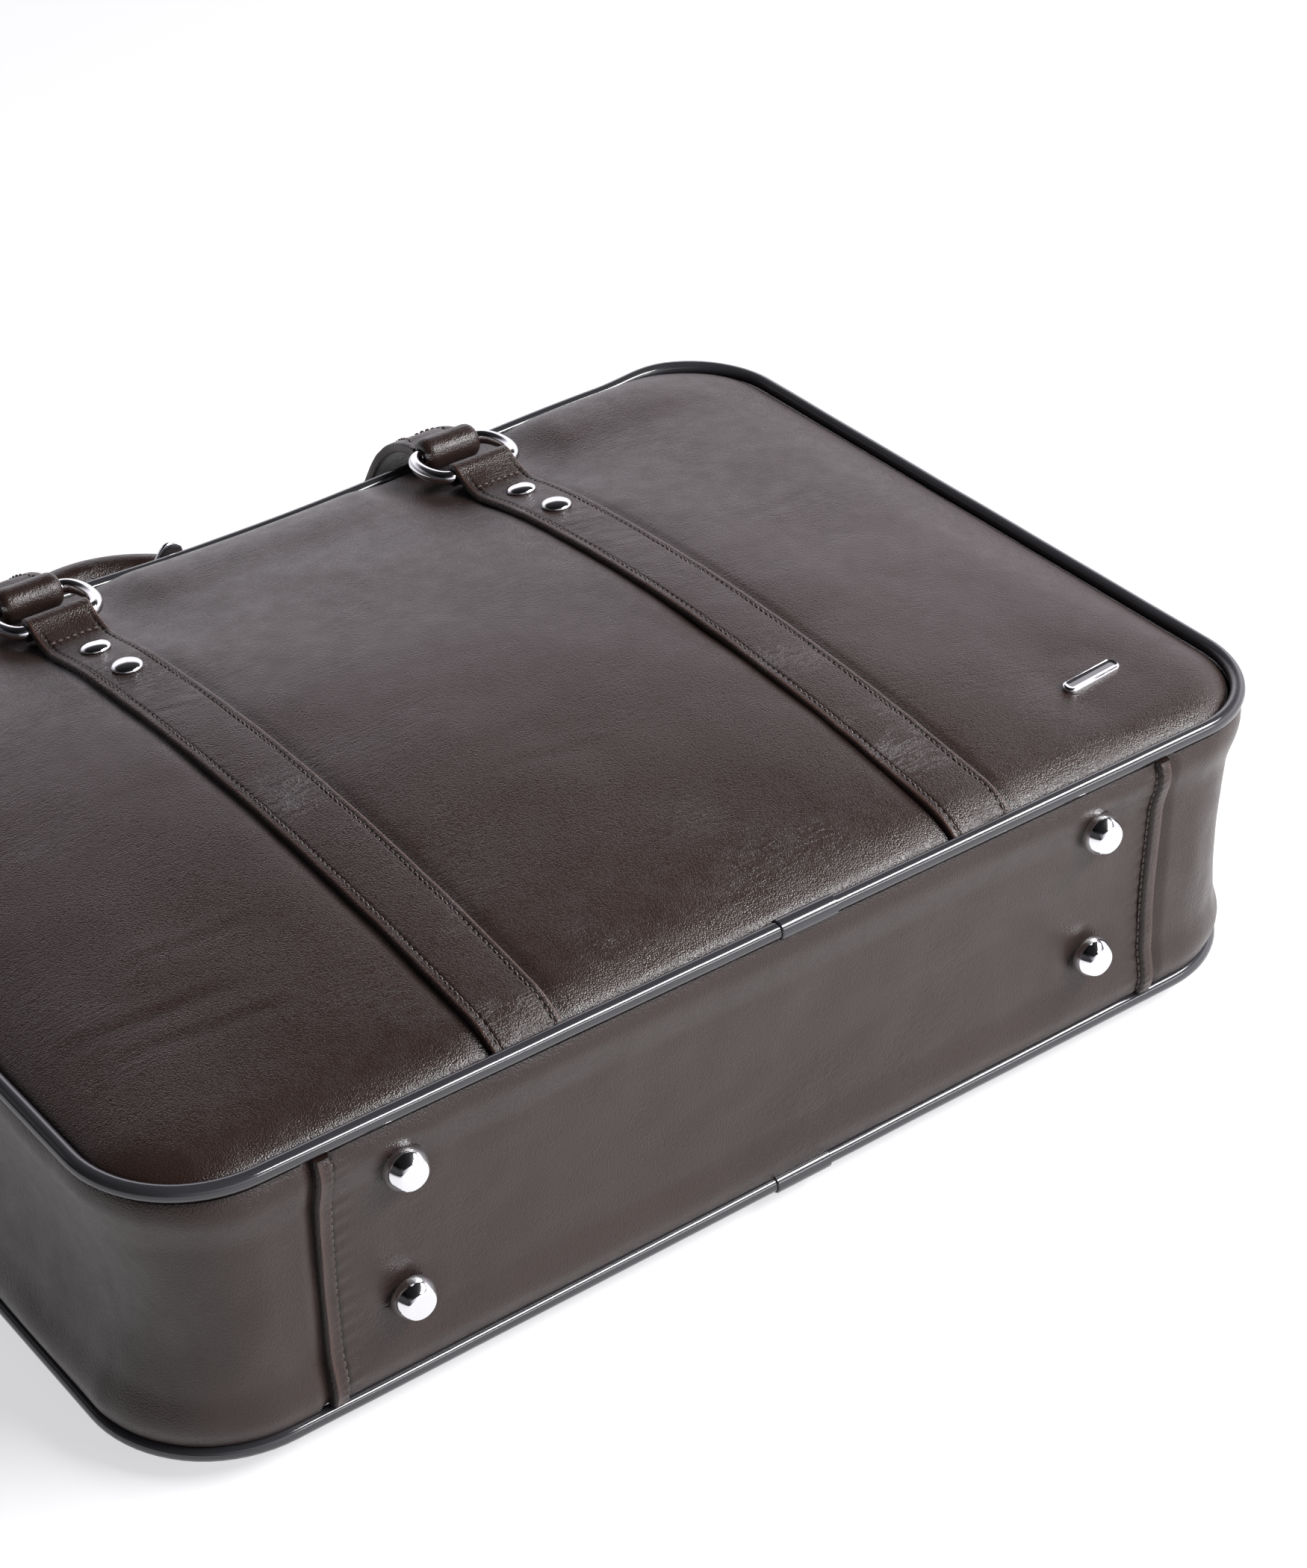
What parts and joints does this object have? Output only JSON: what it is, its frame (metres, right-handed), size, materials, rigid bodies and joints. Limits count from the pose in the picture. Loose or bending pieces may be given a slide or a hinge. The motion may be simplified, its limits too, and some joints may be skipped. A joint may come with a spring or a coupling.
{
  "type": "briefcase",
  "caption": "Soft leather briefcase with padded piped panels, stitched straps, ring-hung handles, metal feet and a zipped mouth, lying on its back.",
  "frame": {"origin": "middle of the flat patch of the back panel that the bag rests on", "axes": "+Z out of the front panel, +Y from the feet to the handles, +X along the length, to the right as the front panel is seen with the handles at the top"},
  "size_m": [0.4048, 0.4237, 0.1181],
  "materials": {
    "leather": "smooth semi-gloss, fine grain",
    "strap_leather": "smooth semi-gloss, stitched",
    "piping_vinyl": "glossy",
    "chrome": "polished",
    "lining": "matt woven",
    "board": "matt",
    "zip_tape": "matt woven, with teeth"
  },
  "bodies": {
    "case": {"back_left_rivet_lower": "chrome", "back_left_rivet_upper": "chrome", "back_left_strap": "strap_leather", "back_lining": "lining", "back_panel": "leather", "back_piping": "piping_vinyl", "back_piping_sleeve": "piping_vinyl", "back_right_rivet_lower": "chrome", "back_right_rivet_upper": "chrome", "back_right_strap": "strap_leather", "back_rim": "leather", "base_board": "board", "bottom_gusset": "leather", "emblem_plate": "chrome", "foot_left_back": "chrome", "foot_left_front": "chrome", "foot_right_back": "chrome", "foot_right_front": "chrome", "foot_washer_left_back": "chrome", "foot_washer_left_front": "chrome", "foot_washer_right_back": "chrome", "foot_washer_right_front": "chrome", "front_left_rivet_lower": "chrome", "front_left_rivet_upper": "chrome", "front_left_strap": "strap_leather", "front_lining": "lining", "front_panel": "leather", "front_piping": "piping_vinyl", "front_piping_sleeve": "piping_vinyl", "front_right_rivet_lower": "chrome", "front_right_rivet_upper": "chrome", "front_right_strap": "strap_leather", "front_rim": "leather", "laptop_divider": "lining", "left_gusset": "leather", "left_zip_tab": "leather", "right_gusset": "leather", "right_zip_tab": "leather"},
    "front_left_ring": {"front_left_ring": "chrome"},
    "front_right_ring": {"front_right_ring": "chrome"},
    "back_left_ring": {"back_left_ring": "chrome"},
    "back_right_ring": {"back_right_ring": "chrome"},
    "front_handle_ends": {"front_handle_left_end": "strap_leather", "front_handle_right_end": "strap_leather"},
    "front_grip": {"front_handle_grip": "strap_leather"},
    "back_handle": {"back_handle_left_end": "strap_leather", "back_handle_right_end": "strap_leather", "back_handle_grip": "strap_leather"},
    "front_zip_flap": {"front_zip_strip": "leather", "front_zip_tape": "zip_tape"},
    "back_zip_flap": {"back_zip_strip": "leather", "back_zip_tape": "zip_tape"},
    "right_slider": {"right_zip_slider": "chrome"},
    "left_slider": {"left_zip_slider": "chrome"},
    "right_pull": {"right_zip_pull": "chrome"},
    "left_pull": {"left_zip_pull": "chrome"}
  },
  "joints": [
    {"name": "front_left_ring_hinge", "type": "hinge", "parent": "case", "child": "front_left_ring", "pos_m": [-0.08, 0.112, 0.10871], "axis": [1, 0, 0], "range_deg": [0, 110]},
    {"name": "front_right_ring_hinge", "type": "hinge", "parent": "case", "child": "front_right_ring", "pos_m": [0.08, 0.112, 0.10871], "axis": [1, 0, 0], "range_deg": [0, 110]},
    {"name": "front_handle_hinge", "type": "hinge", "parent": "front_left_ring", "child": "front_handle_ends", "pos_m": [-0.08, 0.13196, 0.10749], "axis": [1, 0, 0], "range_deg": [0, 45]},
    {"name": "front_handle_flex", "type": "hinge", "parent": "front_handle_ends", "child": "front_grip", "pos_m": [0, 0.16219, 0.08612], "axis": [1, 0, 0], "range_deg": [0, 75]},
    {"name": "back_left_ring_hinge", "type": "hinge", "parent": "case", "child": "back_left_ring", "pos_m": [-0.08, 0.112, 0.0046], "axis": [1, 0, 0], "range_deg": [-110, 0]},
    {"name": "back_right_ring_hinge", "type": "hinge", "parent": "case", "child": "back_right_ring", "pos_m": [0.08, 0.112, 0.0046], "axis": [1, 0, 0], "range_deg": [-110, 0]},
    {"name": "back_handle_hinge", "type": "hinge", "parent": "back_left_ring", "child": "back_handle", "pos_m": [-0.08, 0.132, 0.0046], "axis": [1, 0, 0], "range_deg": [-45, 0]},
    {"name": "right_slider_slide", "type": "slide", "parent": "case", "child": "right_slider", "axis": [1, 0, 0], "range_m": [0, 0.174]},
    {"name": "left_slider_slide", "type": "slide", "parent": "case", "child": "left_slider", "axis": [1, 0, 0], "range_m": [-0.106, 0]},
    {"name": "front_zip_flap_fold", "type": "hinge", "parent": "case", "child": "front_zip_flap", "pos_m": [0, 0.143, 0.0883], "axis": [1, 0, 0], "range_deg": [-75, 0]},
    {"name": "back_zip_flap_fold", "type": "hinge", "parent": "case", "child": "back_zip_flap", "pos_m": [0, 0.143, 0.0237], "axis": [1, 0, 0], "range_deg": [0, 75]},
    {"name": "right_pull_hinge", "type": "hinge", "parent": "right_slider", "child": "right_pull", "pos_m": [-0.0265, 0.1478, 0.056], "axis": [1, 0, 0], "range_deg": [0, 165]},
    {"name": "left_pull_hinge", "type": "hinge", "parent": "left_slider", "child": "left_pull", "pos_m": [-0.0415, 0.1478, 0.056], "axis": [1, 0, 0], "range_deg": [-165, 0]}
  ],
  "couplings": [
    {"joint": "front_right_ring_hinge", "follows": "front_left_ring_hinge", "ratio": 1},
    {"joint": "back_right_ring_hinge", "follows": "back_left_ring_hinge", "ratio": 1},
    {"joint": "left_slider_slide", "follows": "right_slider_slide", "ratio": -0.609},
    {"joint": "front_zip_flap_fold", "follows": "right_slider_slide", "rad_per_m": -7.48},
    {"joint": "back_zip_flap_fold", "follows": "right_slider_slide", "rad_per_m": 7.48}
  ]
}
